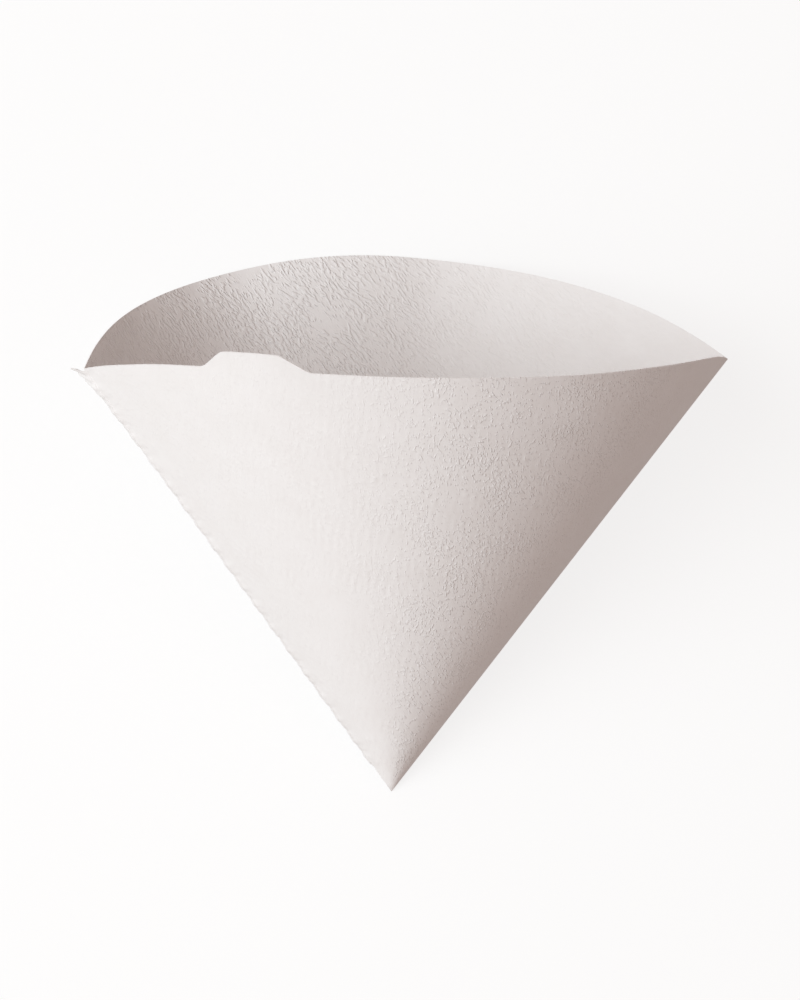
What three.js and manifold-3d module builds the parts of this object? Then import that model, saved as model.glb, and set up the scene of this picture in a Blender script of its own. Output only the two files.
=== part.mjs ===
// Cone coffee filter: one sheet of crepe paper, folded once and crimped along the other straight edge,
// opened to a cone with a pointed oval mouth and lying on its back panel.
// Each panel is a flat sector bent only along straight lines through the tip, so its rim keeps its flat
// length whatever the opening. Millimetres and degrees; +Z up, +Y towards the mouth, +X from seam to fold.
import * as THREE from "three";
import { mergeVertices } from "three/addons/utils/BufferGeometryUtils.js";
import Module from "manifold-3d";

// The sheet
const paperThickness = 0.25;
const slantLength = 117; // tip to rim, along every straight line of a panel
const sectorAngle = 90; // flat angle of one panel
// How far it stands open
const mouthAngle = 72; // between the fold and the seam, at the tip
const frontBowing = { fade: 2, lean: 0.083 }; // fade: how late it dies away towards the creases
const backBowing = { fade: 0.6, lean: 0.5 }; // lean: how much stronger it is towards the last crease
// Where the back panel lies on the table
const restAngle = 14; // width of the stretch that is pressed flat
const restPlace = 2.5; // its middle, from the panel's middle towards the seam
const restEase = 3; // over which the bowing comes back beside it
// The pull tab on the front panel's rim
const tabPlace = 45.6; // along the rim, from the panel's middle towards the seam
const tabBaseWidth = 23.4;
const tabTopWidth = 12.4;
const tabHeight = 4.1;
const tabShoulder = 2.2; // rounding of its top corners, along each side
const tabFoot = 1.4; // rounding where it runs into the rim
// The crimped seam, folded back behind the seam edge
const seamWidth = 7;
const seamPlyThickness = 0.2; // of each ply, where the two are pressed together
const seamGap = 2; // angle at which it leaves the back panel that it is folded onto
const seamSpring = 34; // how far the band springs back out at the rim
const seamSpringLength = 34; // of the edge, below the rim
const seamFoot = 8; // its lower end, above the tip
const seamFootWidth = 2;
const seamFootSlant = 17; // at which it widens from there
const seamTopGap = 0.4; // its upper end stays this far below the rim
const crimpPitch = 2;
const crimpDepth = 0.16;
const crimpClearance = 0.06; // between the ridges and the back panel
const crimpMargin = 1.5; // smooth strip between the fold line and the ridges
// Fineness of the mesh
const panelSteps = 60;
const integrationSteps = 720;
const crimpSteps = 4;
const roundingSteps = 5;
const weldLength = 0.004; // shorter edges are closed up where the seam joins the wall

const rad = THREE.MathUtils.degToRad;
const halfSector = rad(sectorAngle) / 2;
const halfMouth = rad(mouthAngle) / 2;
const seamEdge = new THREE.Vector3(-Math.sin(halfMouth), 0, Math.cos(halfMouth));
const backwards = new THREE.Vector3(0, 1, 0);

// Share of the full bowing at flat angle u from a panel's middle: none at the creases, none on the flat.
function bowingAt(u, { fade, lean }, flat) {
  const towardsCrease = (1 - Math.abs(u / halfSector) ** fade) * (1 + (lean * u) / halfSector);
  if (!flat) return towardsCrease;
  const beyondFlat = (Math.abs(u - flat.middle) - flat.half) / flat.ease;
  return towardsCrease * THREE.MathUtils.clamp(beyondFlat, 0, 1);
}

// Walks across a panel on the unit sphere: each station holds the direction of a straight line of the
// panel and the normal that points into the cup.
function walkAcross(bend, bowing, flat) {
  const step = (2 * halfSector) / integrationSteps;
  const line = new THREE.Vector3(0, 0, 1);
  const inward = new THREE.Vector3(0, 1, 0);
  const stations = [{ line: line.clone(), inward: inward.clone() }];
  for (let i = 0; i < integrationSteps; i++) {
    const u = -halfSector + (i + 0.5) * step;
    const turn = inward.clone().addScaledVector(line, bend * bowingAt(u, bowing, flat));
    const rate = turn.length();
    turn.divideScalar(rate);
    line.applyAxisAngle(turn, rate * step);
    inward.applyAxisAngle(turn, rate * step);
    stations.push({ line: line.clone(), inward: inward.clone() });
  }
  return stations;
}

// The bend that brings a panel's two creases to the mouth angle, found by halving.
function bendToMouth(bowing, flat) {
  let low = 0;
  let high = 8;
  for (let i = 0; i < 50; i++) {
    const middle = (low + high) / 2;
    const stations = walkAcross(middle, bowing, flat);
    const opening = stations[0].line.angleTo(stations[integrationSteps].line);
    if (opening > 2 * halfMouth) low = middle;
    else high = middle;
  }
  return walkAcross(low, bowing, flat);
}

// A panel from crease to crease, turned so that its creases lie in the plane of the seam and the fold.
// facing is +1 for the front panel, which runs from seam to fold, and -1 for the back, from fold to seam.
function makePanel(facing, bowing, flat) {
  const stations = bendToMouth(bowing, flat);
  const first = stations[0].line;
  const last = stations[integrationSteps].line;
  const up = first.clone().add(last).normalize();
  const across = last.clone().sub(first).normalize();
  const found = new THREE.Matrix4().makeBasis(across, up.clone().cross(across), up);
  const wanted = new THREE.Matrix4().makeBasis(
    new THREE.Vector3(facing, 0, 0),
    new THREE.Vector3(0, facing, 0),
    new THREE.Vector3(0, 0, 1),
  );
  const turn = wanted.multiply(found.invert());
  for (const station of stations) {
    station.line.applyMatrix4(turn);
    station.inward.applyMatrix4(turn);
  }
  return (u) => {
    const place = THREE.MathUtils.clamp((u + halfSector) / (2 * halfSector), 0, 1) * integrationSteps;
    const index = Math.min(Math.floor(place), integrationSteps - 1);
    const share = place - index;
    return {
      line: stations[index].line.clone().lerp(stations[index + 1].line, share).normalize(),
      inward: stations[index].inward.clone().lerp(stations[index + 1].inward, share).normalize(),
    };
  };
}

// The tab's outline as points of place along the rim and height above it, with rounded corners.
function tabOutline() {
  const corners = [
    [-tabBaseWidth / 2 - tabFoot, 0],
    [-tabBaseWidth / 2, 0],
    [-tabTopWidth / 2, tabHeight],
    [tabTopWidth / 2, tabHeight],
    [tabBaseWidth / 2, 0],
    [tabBaseWidth / 2 + tabFoot, 0],
  ].map(([along, height]) => new THREE.Vector2(along, height));
  const roundings = [0, tabFoot, tabShoulder, tabShoulder, tabFoot, 0];
  const outline = new THREE.Path();
  outline.moveTo(corners[0].x, corners[0].y);
  for (let i = 1; i < corners.length - 1; i++) {
    const corner = corners[i];
    const before = corners[i - 1].clone().sub(corner).setLength(roundings[i]).add(corner);
    const after = corners[i + 1].clone().sub(corner).setLength(roundings[i]).add(corner);
    outline.lineTo(before.x, before.y);
    outline.quadraticCurveTo(corner.x, corner.y, after.x, after.y);
  }
  outline.lineTo(corners[5].x, corners[5].y);
  return outline.getPoints(roundingSteps);
}

// Rim points of a panel: flat angle from its middle and distance from the tip.
function evenRim() {
  return Array.from({ length: panelSteps + 1 }, (_, i) => ({
    u: -halfSector + (2 * halfSector * i) / panelSteps,
    reach: slantLength,
  }));
}

function rimWithTab() {
  const tab = tabOutline().map((point) => ({
    u: (point.x - tabPlace) / slantLength,
    reach: slantLength + point.y,
  }));
  const stepAngle = (2 * halfSector) / panelSteps;
  const clear = (point) => point.u < tab[0].u - stepAngle / 3 || point.u > tab[tab.length - 1].u + stepAngle / 3;
  return [...evenRim().filter(clear), ...tab].sort((a, b) => a.u - b.u);
}

// The rim all round, from the seam over the front to the fold and over the back to the seam again.
function rimAllRound(front, back) {
  const ring = [];
  for (const [panel, rim] of [[front, rimWithTab()], [back, evenRim()]]) {
    for (const { u, reach } of rim) {
      const { line, inward } = panel(u);
      ring.push({ outer: line.clone().multiplyScalar(reach), inward });
    }
  }
  // A crease belongs to both panels: one point there, with the inside corner mitred.
  const joined = [];
  const count = ring.length;
  for (let i = 0; i < count; i++) {
    const here = ring[i];
    const next = ring[(i + 1) % count];
    const previous = ring[(i + count - 1) % count];
    if (here.outer.distanceTo(previous.outer) < paperThickness / 10) continue;
    if (here.outer.distanceTo(next.outer) < paperThickness / 10) {
      const sum = here.inward.clone().add(next.inward);
      here.inset = sum.multiplyScalar(1 / (1 + here.inward.dot(next.inward)));
    } else {
      here.inset = here.inward.clone();
    }
    joined.push(here);
  }
  return joined;
}

class TriangleList {
  constructor() {
    this.positions = [];
  }

  triangle(a, b, c) {
    for (const point of [a, b, c]) this.positions.push(point.x, point.y, point.z);
  }

  quad(a, b, c, d) {
    this.triangle(a, b, c);
    this.triangle(a, c, d);
  }

  geometry() {
    const geometry = new THREE.BufferGeometry();
    geometry.setAttribute("position", new THREE.Float32BufferAttribute(this.positions, 3));
    return geometry;
  }
}

// The two panels as one wall: fans of straight strips from the tip outside and from the cup's own
// point inside, joined by the cut edge of the paper along the rim.
function wallGeometry(ring, back) {
  const tip = new THREE.Vector3();
  const middleSlope = Math.atan2(back(0).line.y, back(0).line.z);
  const cupPoint = new THREE.Vector3(0, 0, paperThickness / Math.sin(middleSlope));
  const inside = ring.map(({ outer, inset }) => outer.clone().addScaledVector(inset, paperThickness));
  const wall = new TriangleList();
  ring.forEach(({ outer }, i) => {
    const j = (i + 1) % ring.length;
    wall.triangle(tip, ring[j].outer, outer);
    wall.triangle(cupPoint, inside[i], inside[j]);
    wall.quad(outer, ring[j].outer, inside[j], inside[i]);
  });
  return wall.geometry();
}

// The crimped band: both plies pressed into one ridged strip, hinged along the seam edge. Its inner end
// is a thin edge buried in the wall.
function seamGeometry(back) {
  const outward = new THREE.Vector3(-Math.cos(halfMouth), 0, -Math.sin(halfMouth));
  const alongBack = seamEdge.clone().cross(back(halfSector).inward);
  const lying = Math.atan2(alongBack.dot(backwards), alongBack.dot(outward)) - rad(seamGap);
  const sectionCount = Math.round(slantLength / crimpPitch) * crimpSteps;
  const widening = Math.tan(rad(seamFootSlant));
  const highest = slantLength - seamTopGap;
  const section = (index) => {
    const reach = THREE.MathUtils.lerp(seamFoot, highest, index / sectionCount);
    const intoSpring = THREE.MathUtils.clamp(1 - (highest - reach) / seamSpringLength, 0, 1);
    const turn = lying - rad(seamSpring) * intoSpring ** 2;
    const along = outward.clone().multiplyScalar(Math.cos(turn)).addScaledVector(backwards, Math.sin(turn));
    const face = seamEdge.clone().cross(along);
    const width = Math.min(seamWidth, seamFootWidth + (reach - seamFoot) * widening);
    const ridge = crimpDepth * Math.sin((2 * Math.PI * index) / crimpSteps);
    const corner = (offAlong, lift) =>
      seamEdge.clone().multiplyScalar(reach).addScaledVector(along, offAlong).addScaledVector(face, lift);
    const standOff = seamPlyThickness + crimpDepth + crimpClearance;
    const stops = [
      { offAlong: -0.4 * paperThickness, lift: 0, half: 0.3 * paperThickness },
      { offAlong: 0.6 * crimpMargin, lift: standOff, half: seamPlyThickness },
      { offAlong: crimpMargin, lift: standOff + ridge, half: seamPlyThickness },
      { offAlong: width, lift: standOff + ridge, half: seamPlyThickness },
    ];
    return {
      upper: stops.map(({ offAlong, lift, half }) => corner(offAlong, lift + half)),
      lower: stops.map(({ offAlong, lift, half }) => corner(offAlong, lift - half)),
    };
  };
  const sections = Array.from({ length: sectionCount + 1 }, (_, index) => section(index));
  const band = new TriangleList();
  for (let i = 0; i < sectionCount; i++) {
    const [here, next] = [sections[i], sections[i + 1]];
    for (let k = 0; k < 3; k++) {
      band.quad(here.upper[k + 1], here.upper[k], next.upper[k], next.upper[k + 1]);
      band.quad(here.lower[k], here.lower[k + 1], next.lower[k + 1], next.lower[k]);
    }
    band.quad(here.upper[0], here.lower[0], next.lower[0], next.upper[0]);
    band.quad(here.lower[3], here.upper[3], next.upper[3], next.lower[3]);
  }
  const [foot, head] = [sections[0], sections[sectionCount]];
  for (let k = 0; k < 3; k++) {
    band.quad(foot.upper[k], foot.upper[k + 1], foot.lower[k + 1], foot.lower[k]);
    band.quad(head.upper[k + 1], head.upper[k], head.lower[k], head.lower[k + 1]);
  }
  return band.geometry();
}

const wasm = await Module();
wasm.setup();

function solidOf(geometry) {
  const merged = mergeVertices(geometry, 1e-4);
  return new wasm.Manifold(
    new wasm.Mesh({
      numProp: 3,
      vertProperties: merged.attributes.position.array,
      triVerts: new Uint32Array(merged.index.array),
    }),
  );
}

function geometryOf(solid) {
  const { vertProperties, triVerts } = solid.getMesh();
  const geometry = new THREE.BufferGeometry();
  geometry.setAttribute("position", new THREE.Float32BufferAttribute(vertProperties, 3));
  geometry.setIndex(Array.from(triVerts));
  return geometry;
}

// Lays the cone down: the flat of the back panel faces the table, and the seam-to-fold line runs along X.
function layDown(mesh, back, flat) {
  const { inward } = back(flat.middle);
  const up = inward.clone().normalize();
  const across = new THREE.Vector3(1, 0, 0).addScaledVector(up, -up.x).normalize();
  const towardsMouth = up.clone().cross(across);
  const lying = new THREE.Matrix4().makeBasis(across, towardsMouth, up).invert();
  mesh.quaternion.setFromRotationMatrix(lying);
  mesh.updateMatrixWorld(true);
  const box = new THREE.Box3().setFromObject(mesh, true);
  mesh.position.set(-(box.min.x + box.max.x) / 2, -(box.min.y + box.max.y) / 2, -box.min.z);
}

const flat = { middle: rad(restPlace), half: rad(restAngle) / 2, ease: rad(restEase) };
const front = makePanel(1, frontBowing, null);
const back = makePanel(-1, backBowing, flat);
const wall = solidOf(wallGeometry(rimAllRound(front, back), back));
const seam = solidOf(seamGeometry(back));

const paper = new THREE.MeshStandardMaterial({ color: "#ece8e5", roughness: 0.95, metalness: 0 });
const filterPaper = new THREE.Mesh(geometryOf(wall.add(seam).simplify(weldLength)), paper);
filterPaper.name = "filter_paper";
layDown(filterPaper, back, flat);

const coneFilter = new THREE.Group();
coneFilter.add(filterPaper);

export default coneFilter;
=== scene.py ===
"""Looks of a cone coffee filter of creped white paper, lying on its back panel on a white table."""

import logging
import math
from dataclasses import dataclass, field
from enum import Enum

import bpy
import numpy as np
from mathutils import Matrix, Vector


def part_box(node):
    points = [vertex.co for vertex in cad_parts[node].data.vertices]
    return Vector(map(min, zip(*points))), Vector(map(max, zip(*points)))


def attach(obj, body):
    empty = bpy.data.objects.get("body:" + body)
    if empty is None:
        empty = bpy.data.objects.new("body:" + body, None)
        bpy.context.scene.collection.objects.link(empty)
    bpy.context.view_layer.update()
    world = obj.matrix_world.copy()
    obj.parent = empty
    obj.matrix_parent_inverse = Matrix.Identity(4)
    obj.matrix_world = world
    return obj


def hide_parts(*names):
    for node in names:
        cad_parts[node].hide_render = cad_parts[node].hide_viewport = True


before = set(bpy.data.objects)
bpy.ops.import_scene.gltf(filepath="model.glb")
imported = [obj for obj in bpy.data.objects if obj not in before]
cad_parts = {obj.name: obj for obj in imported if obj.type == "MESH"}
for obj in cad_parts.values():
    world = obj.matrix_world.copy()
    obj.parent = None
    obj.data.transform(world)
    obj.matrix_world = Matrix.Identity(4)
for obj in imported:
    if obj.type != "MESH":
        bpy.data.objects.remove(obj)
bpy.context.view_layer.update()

log = logging.getLogger("cone_filter")

NODE = "filter_paper"
BODY = "root"
MM = 0.001
SHEET_SPAN = 260.0  # mm of the flat sheet along each side of the UV square
SHARP_ANGLE = 50.0  # degrees between faces where the shading breaks: the cut rims and the creases
WHITE = "#ffffff"


class Facing(Enum):
    """Which panel of the folded sheet a surface belongs to."""

    FRONT = 1
    BACK = -1


class Side(Enum):
    """Which side of the sheet a face is on: its material's place on a piece."""

    OUTER = 0
    INNER = 1


def linear(hex_colour: str) -> tuple[float, float, float, float]:
    """Turns an sRGB hex colour to linear light.

    Args:
        hex_colour: The colour as #rrggbb.

    Returns:
        Linear red, green, blue and an alpha of 1.
    """
    parts = [int(hex_colour[i : i + 2], 16) / 255 for i in (1, 3, 5)]
    lit = [p / 12.92 if p <= 0.04045 else ((p + 0.055) / 1.055) ** 2.4 for p in parts]
    return (lit[0], lit[1], lit[2], 1.0)


def add_node(tree: bpy.types.NodeTree, kind: str, settings: dict, links: dict) -> bpy.types.Node:
    """Adds a node to a tree.

    Args:
        tree: The material's or world's node tree.
        kind: The node's Blender type name.
        settings: Attribute names, input names or input places with their values.
        links: Input names or places with the output sockets that feed them.

    Returns:
        The new node.
    """
    node = tree.nodes.new(kind)
    for name, value in settings.items():
        if isinstance(name, str) and hasattr(node, name):
            setattr(node, name, value)
        else:
            node.inputs[name].default_value = value
    for name, socket in links.items():
        tree.links.new(socket, node.inputs[name])
    return node


def add_maths(
    tree: bpy.types.NodeTree, operation: str, *terms: bpy.types.NodeSocket | float
) -> bpy.types.NodeSocket:
    """Adds a maths node.

    Args:
        tree: The material's or world's node tree.
        operation: What it does with its terms.
        terms: Numbers, or the output sockets that feed it.

    Returns:
        The result.
    """
    numbers = {i: term for i, term in enumerate(terms) if isinstance(term, float)}
    sockets = {i: term for i, term in enumerate(terms) if not isinstance(term, float)}
    settings = {"operation": operation, **numbers}
    return add_node(tree, "ShaderNodeMath", settings, sockets).outputs[0]


def add_ramp(
    tree: bpy.types.NodeTree,
    value: bpy.types.NodeSocket,
    start: tuple[float, float],
    end: tuple[float, float],
) -> bpy.types.NodeSocket:
    """Adds a soft rise or fall from one level to another.

    Args:
        tree: The material's node tree.
        value: The value that it follows.
        start: The value and the level where it starts.
        end: The value and the level where it ends.

    Returns:
        The level.
    """
    settings = {
        "interpolation_type": "SMOOTHSTEP",
        "From Min": start[0],
        "From Max": end[0],
        "To Min": start[1],
        "To Max": end[1],
    }
    return add_node(tree, "ShaderNodeMapRange", settings, {"Value": value}).outputs["Result"]


def background_rays(tree: bpy.types.NodeTree) -> bpy.types.NodeSocket:
    """Adds a switch that is 1 for what the eye sees, straight, mirrored or through glass.

    Args:
        tree: The material's or world's node tree.

    Returns:
        The switch.
    """
    path = add_node(tree, "ShaderNodeLightPath", {}, {})
    seen = add_maths(tree, "MAXIMUM", path.outputs["Is Camera Ray"], path.outputs["Is Glossy Ray"])
    return add_maths(tree, "MAXIMUM", seen, path.outputs["Is Transmission Ray"])


@dataclass(frozen=True)
class SheetSizes:
    """Driving sizes of the folded sheet, in millimetres and degrees, as in the part's source."""

    thickness: float = 0.25
    slant: float = 117.0
    sector: float = 90.0
    mouth: float = 72.0
    front_fade: float = 2.0
    front_lean: float = 0.083
    back_fade: float = 0.6
    back_lean: float = 0.5
    rest_angle: float = 14.0
    rest_place: float = 2.5
    rest_ease: float = 3.0
    tab_place: float = 45.6
    tab_base: float = 23.4
    tab_top: float = 12.4
    tab_height: float = 4.1
    tab_rounding: float = 1.2
    seam_width: float = 7.0
    seam_ply: float = 0.2
    seam_gap: float = 2.0
    seam_spring: float = 34.0
    seam_spring_length: float = 34.0
    seam_foot: float = 8.0
    seam_foot_width: float = 2.0
    seam_foot_slant: float = 17.0
    seam_top_gap: float = 0.4
    crimp_pitch: float = 2.0
    crimp_depth: float = 0.16
    crimp_clearance: float = 0.06
    crimp_margin: float = 1.5

    @property
    def half_sector(self) -> float:
        """Half of a panel's flat angle, in radians."""
        return math.radians(self.sector) / 2

    @property
    def half_mouth(self) -> float:
        """Half of the angle between the seam and the fold, in radians."""
        return math.radians(self.mouth) / 2

    @property
    def seam_edge(self) -> np.ndarray:
        """Direction of the seam edge from the tip, in the cone's frame."""
        return np.array((-math.sin(self.half_mouth), 0.0, math.cos(self.half_mouth)))

    @property
    def seam_top(self) -> float:
        """Distance from the tip to the seam band's upper end, in millimetres."""
        return self.slant - self.seam_top_gap

    def off_rest(self, u: np.ndarray, ease: float) -> np.ndarray:
        """Gives how far places on the back panel are off the flat that it rests on.

        Args:
            u: Flat angles from the panel's middle, in radians.
            ease: Degrees from the flat's edge to where the share is full.

        Returns:
            Shares, from 0 on the flat to 1 beyond the ease.
        """
        off_middle = np.degrees(np.abs(u - math.radians(self.rest_place)))
        return np.clip((off_middle - self.rest_angle / 2) / ease, 0, 1)


def turn_about(vector: np.ndarray, axis: np.ndarray, angle: float) -> np.ndarray:
    """Turns a vector about a unit axis.

    Args:
        vector: The vector to turn.
        axis: The unit axis.
        angle: The turn, in radians.

    Returns:
        The turned vector.
    """
    along = axis * axis.dot(vector) * (1 - math.cos(angle))
    return vector * math.cos(angle) + np.cross(axis, vector) * math.sin(angle) + along


class PanelCurve:
    """The straight lines of one panel: their directions from the tip, and normals into the cup."""

    STEPS = 360
    BISECTIONS = 40
    STRONGEST_BEND = 8.0

    def __init__(self, sizes: SheetSizes, facing: Facing) -> None:
        """Bends the panel until its creases stand at the mouth's angle.

        Args:
            sizes: The sheet's sizes.
            facing: Which panel it is.
        """
        self.sizes = sizes
        self.facing = facing
        is_front = facing is Facing.FRONT
        self.fade = sizes.front_fade if is_front else sizes.back_fade
        self.lean = sizes.front_lean if is_front else sizes.back_lean
        low, high = 0.0, self.STRONGEST_BEND
        for _ in range(self.BISECTIONS):
            bend = (low + high) / 2
            lines, _normals = self._walk(bend)
            opening = math.acos(float(np.clip(lines[0].dot(lines[-1]), -1, 1)))
            low, high = (bend, high) if opening > 2 * sizes.half_mouth else (low, bend)
        self._place(*self._walk(low))

    def _bowing(self, u: float) -> float:
        """Gives the share of the full bowing at a flat angle from the panel's middle.

        Args:
            u: The flat angle, in radians.

        Returns:
            The share, none at the creases and none where the back panel rests.
        """
        part = u / self.sizes.half_sector
        share = (1 - abs(part) ** self.fade) * (1 + self.lean * part)
        if self.facing is Facing.FRONT:
            return share
        return share * float(self.sizes.off_rest(np.array(u), self.sizes.rest_ease))

    def _walk(self, bend: float) -> tuple[np.ndarray, np.ndarray]:
        """Walks across the panel on the unit sphere.

        Args:
            bend: The strength of the bowing.

        Returns:
            The lines' directions and the normals into the cup.
        """
        step = 2 * self.sizes.half_sector / self.STEPS
        line, inward = np.array((0.0, 0.0, 1.0)), np.array((0.0, 1.0, 0.0))
        lines, normals = [line], [inward]
        for i in range(self.STEPS):
            turn = inward + line * bend * self._bowing(-self.sizes.half_sector + (i + 0.5) * step)
            rate = float(np.linalg.norm(turn))
            line = turn_about(line, turn / rate, rate * step)
            inward = turn_about(inward, turn / rate, rate * step)
            lines.append(line)
            normals.append(inward)
        return np.array(lines), np.array(normals)

    def _place(self, lines: np.ndarray, normals: np.ndarray) -> None:
        """Turns the panel so that its creases lie in the plane of the seam and the fold.

        Args:
            lines: The lines' directions.
            normals: The normals into the cup.
        """
        up = lines[0] + lines[-1]
        up /= np.linalg.norm(up)
        across = lines[-1] - lines[0]
        across /= np.linalg.norm(across)
        found = np.column_stack((across, np.cross(up, across), up))
        wanted = np.diag((float(self.facing.value), float(self.facing.value), 1.0))
        turn = wanted @ found.T
        self.lines = lines @ turn.T
        self.normals = normals @ turn.T

    def at(self, u: np.ndarray) -> tuple[np.ndarray, np.ndarray]:
        """Gives the lines and normals at flat angles from the panel's middle.

        Args:
            u: The flat angles, in radians.

        Returns:
            Unit directions and unit normals, one row for each angle.
        """
        place = np.clip((u / self.sizes.half_sector + 1) / 2, 0, 1) * self.STEPS
        index = np.minimum(place.astype(int), self.STEPS - 1)
        share = (place - index)[:, None]
        found = []
        for values in (self.lines, self.normals):
            mixed = values[index] * (1 - share) + values[index + 1] * share
            found.append(mixed / np.linalg.norm(mixed, axis=1)[:, None])
        return found[0], found[1]


@dataclass(frozen=True)
class CrepeField:
    """Height of the creping over the flat sheet: short creases that run alongside the seam."""

    seed: int
    crease_width: float
    crease_length: float
    height: float
    sharpness: float = 0.3
    width_spread: float = 0.28
    waves: int = 56

    def at(self, along: np.ndarray, across: np.ndarray) -> np.ndarray:
        """Gives the height at places on the sheet.

        Args:
            along: Distance along the creases, in millimetres.
            across: Distance across the creases, in millimetres.

        Returns:
            Heights in millimetres.
        """
        draw = np.random.default_rng(self.seed)
        total = np.zeros_like(along)
        for _ in range(self.waves):
            width = self.crease_width * math.exp(draw.normal(0, self.width_spread))
            slant = draw.normal(0, 1) / self.crease_length
            phase = draw.uniform(0, 2 * math.pi)
            total += np.cos(2 * math.pi * (across / width + along * slant) + phase)
        total *= math.sqrt(2 / self.waves)
        return self.height * (total - self.sharpness * (total**2 - 1))


@dataclass(frozen=True)
class PuckerWave:
    """The small waves that the crimping leaves along the seam edge, in millimetres."""

    pitch: float = 5.9
    height: float = 0.1
    drift: float = 1.3
    drift_length: float = 11.0
    ripple_share: float = 0.5
    ripple_turn: float = 2.9

    def at(self, reach: np.ndarray) -> np.ndarray:
        """Gives the waves at distances along the seam edge.

        Args:
            reach: Distances from the tip, in millimetres.

        Returns:
            How far the edge is drawn in, in millimetres.
        """
        drift = self.drift * np.sin(reach / self.drift_length)
        swing = np.sin(2 * math.pi * reach / self.pitch + drift)
        return self.height * (swing + self.ripple_share * np.sin(reach * self.ripple_turn))


@dataclass
class Cone:
    """The opened sheet in the row's frame: both panels' curves and how the cone lies."""

    sizes: SheetSizes = field(default_factory=SheetSizes)
    pucker: PuckerWave = PuckerWave()
    pucker_start: float = 12.0  # mm from the tip to where the puckers are full

    def __post_init__(self) -> None:
        """Bends both panels and works out how the cone lies on the table."""
        self.curves = {facing: PanelCurve(self.sizes, facing) for facing in Facing}
        _line, rest = self.curves[Facing.BACK].at(np.array([math.radians(self.sizes.rest_place)]))
        up = rest[0]
        across = np.array((1.0, 0.0, 0.0)) - up * up[0]
        across /= np.linalg.norm(across)
        self.turn = np.array((across, np.cross(up, across), up))
        lowest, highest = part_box(NODE)
        fold = self.turn @ (self.sizes.seam_edge * (-1, 1, 1)) * self.sizes.slant
        self.tip = np.array((highest.x / MM - fold[0], lowest.y / MM, 0.0))

    def placed(self, points: np.ndarray) -> np.ndarray:
        """Takes points from the cone's frame to the row's.

        Args:
            points: Points in millimetres, tip at the origin.

        Returns:
            Points in the row's frame, in metres.
        """
        return (points @ self.turn.T + self.tip) * MM

    def drawn_in(self, along: np.ndarray, from_tip: np.ndarray) -> np.ndarray:
        """Gives how the seam edge is drawn into the cone at its puckers.

        Args:
            along: Distances along the seam edge, in millimetres.
            from_tip: Distances from the tip, in millimetres.

        Returns:
            Moves in the cone's frame, in millimetres, one row for each distance.
        """
        fading = np.clip(from_tip / self.pucker_start, 0, 1)
        return np.outer(self.pucker.at(along) * fading, self.crease_inset(True))

    def crease_inset(self, at_seam: bool) -> np.ndarray:
        """Gives the inside corner's direction at a crease, for a wall of unit thickness.

        Args:
            at_seam: True at the seam, False at the fold.

        Returns:
            The vector from the outer to the inner corner.
        """
        front = self.curves[Facing.FRONT].normals[0 if at_seam else -1]
        back = self.curves[Facing.BACK].normals[-1 if at_seam else 0]
        return (front + back) / (1 + front.dot(back))


class MeshList:
    """Vertices and faces of one piece, gathered part by part."""

    def __init__(self) -> None:
        """Starts an empty list."""
        self.points: list[np.ndarray] = []
        self.flat: list[np.ndarray] = []
        self.faces: list[tuple[Side, np.ndarray]] = []
        self.count = 0

    def add_points(self, points: np.ndarray, flat: np.ndarray) -> np.ndarray:
        """Adds vertices.

        Args:
            points: Positions in the row's frame, in metres.
            flat: Their places on the flat sheet, in millimetres.

        Returns:
            The vertices' numbers.
        """
        self.points.append(points)
        self.flat.append(flat)
        numbers = np.arange(self.count, self.count + len(points))
        self.count += len(points)
        return numbers

    def add_faces(self, corners: np.ndarray, side: Side) -> None:
        """Adds faces.

        Args:
            corners: Vertex numbers, one row for each face.
            side: The side of the sheet they are on.
        """
        self.faces.append((side, corners))

    def add_strip(self, lower: np.ndarray, upper: np.ndarray, side: Side = Side.OUTER) -> None:
        """Joins two rows of vertices of the same length, or an upper one with every space halved.

        Args:
            lower: The lower row's numbers.
            upper: The upper row's numbers.
            side: The side of the sheet they are on.
        """
        if len(lower) == len(upper):
            self.add_faces(np.column_stack((lower[:-1], lower[1:], upper[1:], upper[:-1])), side)
            return
        start, middle, end = upper[0:-1:2], upper[1::2], upper[2::2]
        self.add_faces(np.column_stack((lower[:-1], lower[1:], middle)), side)
        self.add_faces(np.column_stack((lower[:-1], middle, start)), side)
        self.add_faces(np.column_stack((lower[1:], end, middle)), side)

    def build(self, name: str) -> bpy.types.Object:
        """Makes the object, with a UV map that holds each vertex's place on the flat sheet.

        Args:
            name: The piece's name.

        Returns:
            The new object.
        """
        mesh = bpy.data.meshes.new(name)
        faces = [face for _side, block in self.faces for face in block.tolist()]
        sides = [side.value for side, block in self.faces for _face in block]
        mesh.from_pydata(np.concatenate(self.points).tolist(), [], faces)
        mesh.polygons.foreach_set("material_index", sides)
        mesh.validate()
        flat = np.concatenate(self.flat)
        corners = np.zeros(len(mesh.loops), int)
        mesh.loops.foreach_get("vertex_index", corners)
        layer = mesh.uv_layers.new(name="sheet")
        places = flat[corners] / SHEET_SPAN + (0.5, 0.0)
        layer.data.foreach_set("uv", places.astype(np.float32).ravel())
        mesh.polygons.foreach_set("use_smooth", [True] * len(mesh.polygons))
        mesh.set_sharp_from_angle(angle=math.radians(SHARP_ANGLE))
        mesh.update()
        piece = bpy.data.objects.new(name, mesh)
        bpy.context.scene.collection.objects.link(piece)
        log.info("%s: %d faces", name, len(mesh.polygons))
        return piece


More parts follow.
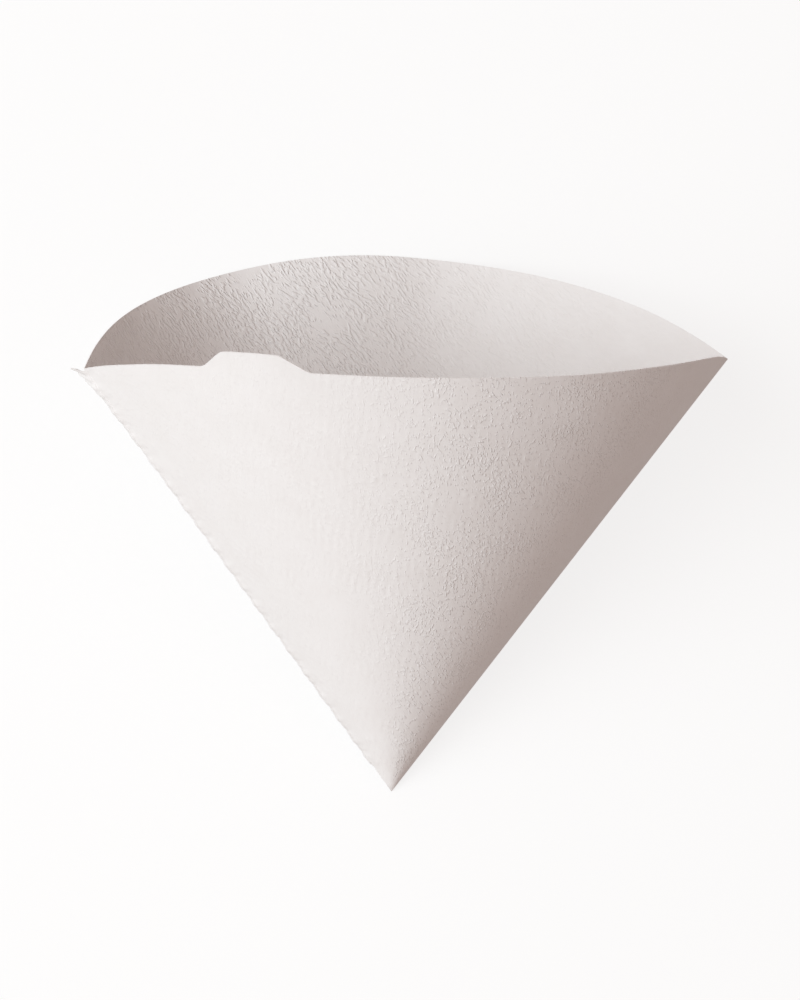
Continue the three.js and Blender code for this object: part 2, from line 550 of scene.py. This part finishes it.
@dataclass
class PanelSheet:
    """One panel of the filter: a shell of paper with creped, slightly wavy faces and a cut rim."""

    cone: Cone
    facing: Facing
    name: str
    rim_steps: int = 320
    row_height: float = 0.56
    creping: CrepeField = CrepeField(seed=11, crease_width=1.9, crease_length=4.0, height=0.02)
    cockle: CrepeField = CrepeField(
        seed=23, crease_width=27.0, crease_length=60.0, height=0.06, waves=16
    )
    crease_calm: float = 3.0  # mm from a crease to where the creping is full
    tip_calm: float = 6.0  # mm from the tip to where the creping is full
    cockle_calm: float = 18.0  # mm from a crease to where the wide waves are full
    cockle_ease: float = 12.0  # degrees from the resting flat to where they are full
    pucker_reach: float = 1.7  # mm from the seam edge over which the puckers fade
    fewest_steps: int = 10

    def _reach(self, u: np.ndarray) -> np.ndarray:
        """Gives the distance from the tip to the cut rim, with the pull tab on the front panel.

        Args:
            u: Flat angles from the panel's middle, in radians.

        Returns:
            Distances in millimetres.
        """
        sizes = self.cone.sizes
        reach = np.full_like(u, sizes.slant)
        if self.facing is Facing.BACK:
            return reach
        off = np.abs(u * sizes.slant + sizes.tab_place)
        slope = (sizes.tab_base - sizes.tab_top) / 2 / sizes.tab_height
        height = (sizes.tab_base / 2 - off) / slope
        soft = sizes.tab_rounding / 4

        def below_top(level: np.ndarray | float) -> np.ndarray:
            """Bends a level over softly at the tab's top.

            Args:
                level: Heights above the rim, in millimetres.

            Returns:
                The heights, none of them above the tab's.
            """
            return sizes.tab_height - soft * np.logaddexp(0, (sizes.tab_height - level) / soft)

        height = below_top(soft * np.logaddexp(0, height / soft))
        # Beside the tab the soft foot is cut off where it is all but gone, so the rim stays round.
        return reach + np.maximum(height - below_top(soft * 1e-3), 0)

    def _flat(self, u: np.ndarray, r: np.ndarray) -> np.ndarray:
        """Gives places on the unfolded sheet, with the fold line in its middle.

        Args:
            u: Flat angles from the panel's middle, in radians.
            r: Distances from the tip, in millimetres.

        Returns:
            Columns of distance from the fold line and distance along it, in millimetres.
        """
        from_seam = u + self.cone.sizes.half_sector
        if self.facing is Facing.BACK:
            from_seam = self.cone.sizes.half_sector - u
        return np.column_stack((self.facing.value * r * np.cos(from_seam), r * np.sin(from_seam)))

    def _outer(self, u: np.ndarray, r: np.ndarray) -> tuple[np.ndarray, np.ndarray, np.ndarray]:
        """Gives the outer face's points with creping, cockles and the puckers beside the seam.

        Args:
            u: Flat angles from the panel's middle, in radians.
            r: Distances from the tip, in millimetres.

        Returns:
            Points and insets to the inner face in the cone's frame, and places on the flat sheet.
        """
        sizes = self.cone.sizes
        lines, inward = self.cone.curves[self.facing].at(u)
        flat = self._flat(u, r)
        from_fold, from_seam = np.abs(flat[:, 0]), flat[:, 1]
        from_crease = np.minimum(from_fold, from_seam)
        calm = np.clip(from_crease / self.crease_calm, 0, 1)
        calm = calm * (3 - 2 * calm) * np.clip(r / self.tip_calm, 0, 1)
        wide_calm = np.clip(from_crease / self.cockle_calm, 0, 1) ** 2 * (r / sizes.slant) ** 2
        if self.facing is Facing.BACK:
            wide_calm *= sizes.off_rest(u, self.cockle_ease)
        height = self.creping.at(flat[:, 0], flat[:, 1]) * calm
        height += self.cockle.at(flat[:, 0], flat[:, 1]) * wide_calm
        points = lines * r[:, None] + inward * height[:, None]
        near_seam = np.exp(-((from_seam / self.pucker_reach) ** 2))
        points += self.cone.drawn_in(from_fold, r) * near_seam[:, None]
        inset = inward.copy()
        inset[from_seam < 1e-6] = self.cone.crease_inset(True)
        inset[from_fold < 1e-6] = self.cone.crease_inset(False)
        return points, inset, flat

    def _rows(self) -> list[tuple[float, int]]:
        """Lists the rows from the rim to the tip, with fewer steps as the panel narrows.

        Returns:
            Pairs of the row's share of the way up and its number of steps.
        """
        rows, steps, share = [], self.rim_steps, 1.0
        while steps >= self.fewest_steps:
            span = share / 2
            count = max(2, round(span * self.cone.sizes.slant / self.row_height))
            rows += [(share - span * i / count, steps) for i in range(count)]
            share, steps = span, steps // 2
        return rows

    def build(self) -> bpy.types.Object:
        """Builds the panel as a closed shell.

        Returns:
            The panel.
        """
        sizes = self.cone.sizes
        mesh = MeshList()
        faces: dict[Side, list[np.ndarray]] = {side: [] for side in Side}
        for share, steps in self._rows():
            u = np.linspace(-sizes.half_sector, sizes.half_sector, steps + 1)
            points, inset, flat = self._outer(u, self._reach(u) * share)
            faces[Side.OUTER].append(mesh.add_points(self.cone.placed(points), flat))
            inner = points + inset * sizes.thickness
            faces[Side.INNER].append(mesh.add_points(self.cone.placed(inner), flat))
        _across, back, up = self.cone.curves[Facing.BACK].at(np.zeros(1))[0][0]
        tip_points = {
            Side.OUTER: np.zeros((1, 3)),
            Side.INNER: np.array(((0.0, 0.0, sizes.thickness * math.hypot(back, up) / back),)),
        }
        tips = {
            side: int(mesh.add_points(self.cone.placed(point), np.zeros((1, 2)))[0])
            for side, point in tip_points.items()
        }
        for side, rows in faces.items():
            way = 1 if side is Side.OUTER else -1
            for upper, lower in zip(rows[:-1], rows[1:]):
                mesh.add_strip(lower[::way], upper[::way], side)
            last = rows[-1] if side is Side.OUTER else rows[-1][::-1]
            ends = np.full(len(last) - 1, tips[side])
            mesh.add_faces(np.column_stack((ends, last[1:], last[:-1])), side)
        mesh.add_strip(faces[Side.OUTER][0], faces[Side.INNER][0])
        for end in (0, -1):
            edges = [np.array([row[end] for row in faces[side]] + [tips[side]]) for side in Side]
            mesh.add_strip(*(edges if end == 0 else edges[::-1]))
        return mesh.build(self.name)


@dataclass
class CrimpedSeam:
    """The seam band: both plies crimped together, folded back behind the seam edge."""

    cone: Cone
    name: str = "crimped_seam"
    steps_per_crimp: int = 10
    width_steps: int = 14
    tuck: float = 0.4  # of the wall, how far the band starts under the seam edge
    thinning: float = 0.3  # of the wall, half the band's thickness where it starts
    rise: float = 0.6  # of the crimp's margin, where the band is full, and its ridges as far again
    trim: tuple[tuple[float, float], ...] = ((0.12, 0.7), (0.05, 3.1))  # mm and radians per mm

    def _direction(self, reach: np.ndarray) -> tuple[np.ndarray, np.ndarray]:
        """Gives the band's direction away from the seam edge, and its face's normal.

        Args:
            reach: Distances from the tip, in millimetres.

        Returns:
            Unit directions and unit normals, one row for each distance.
        """
        sizes = self.cone.sizes
        outward = np.array((-math.cos(sizes.half_mouth), 0.0, -math.sin(sizes.half_mouth)))
        backwards = np.array((0.0, 1.0, 0.0))
        on_back = np.cross(sizes.seam_edge, self.cone.curves[Facing.BACK].normals[-1])
        lying = math.atan2(on_back.dot(backwards), on_back.dot(outward))
        lying -= math.radians(sizes.seam_gap)
        sprung = np.clip(1 - (sizes.seam_top - reach) / sizes.seam_spring_length, 0, 1)
        turn = lying - math.radians(sizes.seam_spring) * sprung**2
        along = np.cos(turn)[:, None] * outward + np.sin(turn)[:, None] * backwards
        return along, np.cross(sizes.seam_edge, along)

    def build(self) -> bpy.types.Object:
        """Builds the band as a closed ridged strip.

        Returns:
            The band.
        """
        sizes = self.cone.sizes
        mesh = MeshList()
        count = round((sizes.seam_top - sizes.seam_foot) / sizes.crimp_pitch * self.steps_per_crimp)
        reach = np.linspace(sizes.seam_foot, sizes.seam_top, count + 1)
        along, face = self._direction(reach)
        widening = math.tan(math.radians(sizes.seam_foot_slant))
        width = sizes.seam_foot_width + (reach - sizes.seam_foot) * widening
        width = np.minimum(sizes.seam_width, width)
        for height, turn in self.trim:
            width = width + height * np.sin(reach * turn)
        edge = np.outer(reach, sizes.seam_edge) + self.cone.drawn_in(reach, reach)
        ridge = sizes.crimp_depth * np.sin(2 * math.pi * reach / sizes.crimp_pitch)
        tuck, thin = self.tuck * sizes.thickness, self.thinning * sizes.thickness
        rise = self.rise * sizes.crimp_margin
        full_stand_off = sizes.seam_ply + sizes.crimp_depth + sizes.crimp_clearance
        sides: dict[int, list[np.ndarray]] = {1: [], -1: []}
        for k in range(self.width_steps + 1):
            off = -tuck + k / self.width_steps * (width + tuck)
            risen = np.clip(off / rise, 0, 1)
            half = thin + (sizes.seam_ply - thin) * risen
            crimp = full_stand_off * np.sqrt(risen) + ridge * np.clip((off - rise) / rise, 0, 1)
            flat = np.column_stack((reach, -off))
            for side in sides:
                lifted = edge + along * off[:, None] + face * (crimp + side * half)[:, None]
                sides[side].append(mesh.add_points(self.cone.placed(lifted), flat))
        for side, columns in sides.items():
            for near, far in zip(columns[:-1], columns[1:]):
                mesh.add_strip(*((near, far) if side == 1 else (far, near)))
        mesh.add_strip(sides[-1][0], sides[1][0])
        mesh.add_strip(sides[1][-1], sides[-1][-1])
        for end in (0, -1):
            upper = np.array([column[end] for column in sides[1]])
            lower = np.array([column[end] for column in sides[-1]])
            mesh.add_strip(*((lower, upper) if end == 0 else (upper, lower)))
        return mesh.build(self.name)


@dataclass(frozen=True)
class CrepedFilterPaper:
    """Bleached creped filter paper, unsized and uncoated: dead matt, soft white, finely wrinkled.

    The wrinkles of the real paper are about 0.3 mm wide; here they are half as wide again, to show
    at all.
    """

    name: str
    wrinkle_mm: float
    wrinkle_stretch: float  # their width over their length
    wrinkle_height_mm: float
    wrinkle_start: float  # the noise level where they begin to rise
    wrinkle_rise: float  # how much more noise brings them to their full height
    wrinkle_turns: tuple[float, float]  # radians from the seam's direction
    patch_share: float  # how much denser they are in one patch than in another
    calm_share: float  # their height where the sheet is pressed flattest
    calm_from: float  # degrees from the seam, here and below
    rough_from: float
    fold_calm_from: float = 66.0
    fold_calm_to: float = 80.0
    fold_share: float = 0.3
    wrinkle_shift: tuple[float, float] = (31.0, 7.0)  # mm, the first of them for each radian turned
    patch_mm: float = 9.0
    colour: str = "#f0efef"
    cloud_colour: str = "#ebe9e8"
    cloud_mm: float = 7.0
    roughness: float = 0.96
    pressed_roughness: float = 0.87
    fibre_mm: float = 0.35
    fibre_height_mm: float = 0.012
    ior: float = 1.47
    specular: float = 0.3

    def make(self) -> bpy.types.Material:
        """Makes the material.

        Returns:
            The material.
        """
        material = bpy.data.materials.new(self.name)
        material.use_nodes = True
        tree = material.node_tree
        tree.nodes.clear()
        place = add_node(tree, "ShaderNodeUVMap", {"uv_map": "sheet"}, {})
        sheet = add_node(
            tree,
            "ShaderNodeVectorMath",
            {"operation": "MULTIPLY", 1: (SHEET_SPAN, SHEET_SPAN, 1.0)},
            {0: place.outputs["UV"]},
        ).outputs[0]
        fibres = self._noise(tree, sheet, self.fibre_mm, 2.0)
        tint = add_node(
            tree,
            "ShaderNodeMix",
            {"data_type": "RGBA", 6: linear(self.cloud_colour), 7: linear(self.colour)},
            {0: self._noise(tree, sheet, self.cloud_mm, 2.0)},
        )
        gloss = add_node(
            tree,
            "ShaderNodeMapRange",
            {"To Min": self.pressed_roughness, "To Max": self.roughness},
            {"Value": fibres},
        )
        paper = add_node(
            tree,
            "ShaderNodeBsdfPrincipled",
            {"IOR": self.ior, "Metallic": 0.0, "Specular IOR Level": self.specular},
            {
                "Base Color": tint.outputs[2],
                "Roughness": gloss.outputs["Result"],
                "Normal": self._relief(tree, sheet, fibres),
            },
        )
        add_node(tree, "ShaderNodeOutputMaterial", {}, {"Surface": paper.outputs[0]})
        return material

    def _relief(
        self,
        tree: bpy.types.NodeTree,
        sheet: bpy.types.NodeSocket,
        fibres: bpy.types.NodeSocket,
    ) -> bpy.types.NodeSocket:
        """Adds the bumps of the fibres, and over them those of two crossing sets of wrinkles.

        Args:
            tree: The material's tree.
            sheet: The place on the sheet, in millimetres.
            fibres: The height of the fibres.

        Returns:
            The normal.
        """
        wrinkles, crossing = (self._wrinkles(tree, sheet, turn) for turn in self.wrinkle_turns)
        either = add_maths(tree, "MAXIMUM", wrinkles, crossing)
        worn = add_maths(tree, "MULTIPLY", either, self._roughened(tree, sheet))
        fibre_bump = add_node(
            tree,
            "ShaderNodeBump",
            {"Strength": 1.0, "Distance": self.fibre_height_mm * MM},
            {"Height": fibres},
        )
        wrinkle_bump = add_node(
            tree,
            "ShaderNodeBump",
            {"Strength": 1.0, "Distance": self.wrinkle_height_mm * MM},
            {"Height": worn, "Normal": fibre_bump.outputs["Normal"]},
        )
        return wrinkle_bump.outputs["Normal"]

    def _noise(
        self,
        tree: bpy.types.NodeTree,
        sheet: bpy.types.NodeSocket,
        size_mm: float,
        detail: float,
    ) -> bpy.types.NodeSocket:
        """Adds noise over the sheet.

        Args:
            tree: The material's tree.
            sheet: The place on the sheet, in millimetres.
            size_mm: The size of its grain.
            detail: Its number of finer octaves.

        Returns:
            The noise, from 0 to 1.
        """
        settings = {"Scale": 1 / size_mm, "Detail": detail, "Roughness": 0.5}
        return add_node(tree, "ShaderNodeTexNoise", settings, {"Vector": sheet}).outputs["Fac"]

    def _roughened(
        self, tree: bpy.types.NodeTree, sheet: bpy.types.NodeSocket
    ) -> bpy.types.NodeSocket:
        """Adds how far the wrinkles stand out by the angle from the seam: it is pressed unevenly.

        Args:
            tree: The material's tree.
            sheet: The place on the sheet, in millimetres.

        Returns:
            Their share of the full height.
        """
        parts = add_node(tree, "ShaderNodeSeparateXYZ", {}, {"Vector": sheet})
        centred = add_maths(tree, "SUBTRACT", parts.outputs["X"], SHEET_SPAN / 2)
        from_fold = add_maths(tree, "ABSOLUTE", centred)
        angle = add_maths(tree, "ARCTAN2", parts.outputs["Y"], from_fold)
        calm_from, rough_from, fold_from, fold_to = (
            math.radians(place)
            for place in (self.calm_from, self.rough_from, self.fold_calm_from, self.fold_calm_to)
        )
        share = add_ramp(tree, angle, (calm_from, self.calm_share), (rough_from, 1.0))
        near_fold = add_ramp(tree, angle, (fold_from, 1.0), (fold_to, self.fold_share))
        return add_maths(tree, "MULTIPLY", share, near_fold)

    def _wrinkles(
        self, tree: bpy.types.NodeTree, sheet: bpy.types.NodeSocket, turn: float
    ) -> bpy.types.NodeSocket:
        """Adds short raised wrinkles, dense in some patches and few in others.

        Args:
            tree: The material's tree.
            sheet: The place on the sheet, in millimetres.
            turn: The wrinkles' angle from the seam, in radians.

        Returns:
            Their height, from 0 to 1.
        """
        turned = add_node(
            tree, "ShaderNodeMapping", {"Rotation": (0.0, 0.0, -turn)}, {"Vector": sheet}
        )
        along, across = self.wrinkle_shift
        drawn_out = add_node(
            tree,
            "ShaderNodeMapping",
            {"Scale": (self.wrinkle_stretch, 1.0, 1.0), "Location": (along * turn, across, 0.0)},
            {"Vector": turned.outputs[0]},
        )
        grain = self._noise(tree, drawn_out.outputs[0], self.wrinkle_mm, 1.0)
        patches = self._noise(tree, turned.outputs[0], self.patch_mm, 1.0)
        raised = add_maths(
            tree, "MULTIPLY_ADD", patches, self.patch_share, -self.patch_share / 2
        )
        dense = add_maths(tree, "ADD", grain, raised)
        end = self.wrinkle_start + self.wrinkle_rise
        return add_ramp(tree, dense, (self.wrinkle_start, 0.0), (end, 1.0))


CREPED_SIDES = {
    Side.OUTER: CrepedFilterPaper(
        name="bleached_creped_filter_paper_outer_side",
        wrinkle_mm=0.56,
        wrinkle_stretch=0.5,
        wrinkle_height_mm=0.092,
        wrinkle_start=0.59,
        wrinkle_rise=0.13,
        patch_share=0.35,
        wrinkle_turns=(0.55, 0.1),
        calm_share=0.25,
        calm_from=28.0,
        rough_from=48.0,
    ),
    Side.INNER: CrepedFilterPaper(
        name="bleached_creped_filter_paper_inner_side",
        wrinkle_mm=0.66,
        wrinkle_stretch=0.42,
        wrinkle_height_mm=0.135,
        wrinkle_start=0.52,
        wrinkle_rise=0.2,
        patch_share=0.8,
        wrinkle_turns=(0.1, -0.24),
        calm_share=0.4,
        calm_from=62.0,
        rough_from=40.0,
    ),
}


@dataclass(frozen=True)
class TablePaper:
    """Matt white background paper, seen as plain white with the object's soft shadow on it."""

    name: str = "matt_white_background_paper"
    colour: str = "#c8c6c4"
    shadow_share: float = 0.2

    def make(self) -> bpy.types.Material:
        """Makes the material.

        Returns:
            The material.
        """
        material = bpy.data.materials.new(self.name)
        material.use_nodes = True
        tree = material.node_tree
        tree.nodes.clear()
        lit = add_node(tree, "ShaderNodeBsdfDiffuse", {"Color": linear(self.colour)}, {})
        pale = add_node(tree, "ShaderNodeBsdfDiffuse", {"Color": linear(WHITE)}, {})
        glow = add_node(tree, "ShaderNodeEmission", {"Color": linear(WHITE), "Strength": 1.0}, {})
        seen = add_node(
            tree,
            "ShaderNodeMixShader",
            {"Fac": self.shadow_share},
            {1: glow.outputs[0], 2: pale.outputs[0]},
        )
        mixed = add_node(
            tree,
            "ShaderNodeMixShader",
            {},
            {"Fac": background_rays(tree), 1: lit.outputs[0], 2: seen.outputs[0]},
        )
        add_node(tree, "ShaderNodeOutputMaterial", {}, {"Surface": mixed.outputs[0]})
        return material


@dataclass
class PhotoCamera:
    """The camera of the photograph, placed by the cone's own axes."""

    cone: Cone
    elevation: float = 16.48
    yaw: float = 15.07
    roll: float = -2.92
    right_of_tip: float = 1.82
    above_tip: float = 62.5
    distance: float = 745.0
    lens: float = 125.1
    sensor: float = 36.0
    clip: tuple[float, float] = (0.05, 20.0)

    def build(self) -> bpy.types.Object:
        """Places the camera and makes it the scene's.

        Returns:
            The camera.
        """
        yaw = np.array(Matrix.Rotation(math.radians(self.yaw), 3, "Z"))
        roll = np.array(Matrix.Rotation(math.radians(self.roll), 3, "Z"))
        tilt = np.array(Matrix.Rotation(math.radians(self.elevation - 90), 3, "X"))
        axes = roll @ tilt @ yaw @ self.cone.turn.T
        place = self.cone.tip + axes.T @ (self.right_of_tip, self.above_tip, self.distance)
        data = bpy.data.cameras.new("photo_camera")
        data.sensor_fit = "VERTICAL"
        data.sensor_height = self.sensor
        data.lens = self.lens
        data.clip_start, data.clip_end = self.clip
        camera = bpy.data.objects.new("photo_camera", data)
        bpy.context.scene.collection.objects.link(camera)
        turned = Matrix(axes.T.tolist()).to_4x4()
        camera.matrix_world = Matrix.Translation(Vector(place * MM)) @ turned
        bpy.context.scene.camera = camera
        return camera


@dataclass(frozen=True)
class SoftLamp:
    """A square soft lamp that points at the middle of the table."""

    name: str
    comes_from: tuple[float, float, float]
    power: float
    colour: str
    size: float = 1.1
    distance: float = 1.6

    def hang(self) -> None:
        """Hangs the lamp."""
        data = bpy.data.lights.new(self.name, "AREA")
        data.shape = "SQUARE"
        data.size = self.size
        data.energy = self.power
        data.color = linear(self.colour)[:3]
        lamp = bpy.data.objects.new(self.name, data)
        direction = Vector(self.comes_from).normalized()
        lamp.location = direction * self.distance
        lamp.rotation_euler = direction.to_track_quat("Z", "Y").to_euler()
        bpy.context.scene.collection.objects.link(lamp)


@dataclass
class Studio:
    """A white table, a large soft lamp from the left and an even pale surround."""

    key: SoftLamp = SoftLamp("soft_lamp", (-0.75, -0.05, 0.65), 23.3, "#f3fcff")
    fill_colour: str = "#ffe5db"
    fill_strength: float = 0.427
    floor_span: float = 6.0
    floor_drop: float = 0.0003

    def build(self) -> None:
        """Builds the floor, the lamp and the surround."""
        self._floor()
        self.key.hang()
        self._surround()

    def _floor(self) -> None:
        """Builds the table top."""
        half = self.floor_span / 2
        corners = [(-half, -half), (half, -half), (half, half), (-half, half)]
        mesh = bpy.data.meshes.new("table_top")
        mesh.from_pydata([(x, y, -self.floor_drop) for x, y in corners], [], [(0, 1, 2, 3)])
        mesh.materials.append(TablePaper().make())
        floor = bpy.data.objects.new("table_top", mesh)
        bpy.context.scene.collection.objects.link(floor)

    def _surround(self) -> None:
        """Lights the object evenly, and shows plain white where nothing is."""
        world = bpy.data.worlds.new("pale_surround")
        bpy.context.scene.world = world
        world.use_nodes = True
        tree = world.node_tree
        tree.nodes.clear()
        soft = add_node(
            tree,
            "ShaderNodeBackground",
            {"Color": linear(self.fill_colour), "Strength": self.fill_strength},
            {},
        )
        white = add_node(
            tree, "ShaderNodeBackground", {"Color": linear(WHITE), "Strength": 1.0}, {}
        )
        mixed = add_node(
            tree,
            "ShaderNodeMixShader",
            {},
            {"Fac": background_rays(tree), 1: soft.outputs[0], 2: white.outputs[0]},
        )
        add_node(tree, "ShaderNodeOutputWorld", {}, {"Surface": mixed.outputs[0]})


def dress(piece: bpy.types.Object, sides: dict[Side, bpy.types.Material]) -> None:
    """Gives a piece its finish and its place in the part.

    Args:
        piece: The piece.
        sides: The material of each side of the sheet.
    """
    for side in Side:
        piece.data.materials.append(sides[side])
    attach(piece, BODY)
    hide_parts(NODE)


def main() -> None:
    """Builds the camera, the filter and the studio."""
    logging.basicConfig(level=logging.INFO, format="%(message)s")
    bpy.context.scene.view_settings.view_transform = "Standard"
    cone = Cone()
    PhotoCamera(cone).build()
    paper = {side: finish.make() for side, finish in CREPED_SIDES.items()}
    front = PanelSheet(cone, Facing.FRONT, "front_panel")
    back = PanelSheet(cone, Facing.BACK, "back_panel")
    for part in (front, back, CrimpedSeam(cone)):
        dress(part.build(), paper)
    Studio().build()


if __name__ == "__main__":
    main()
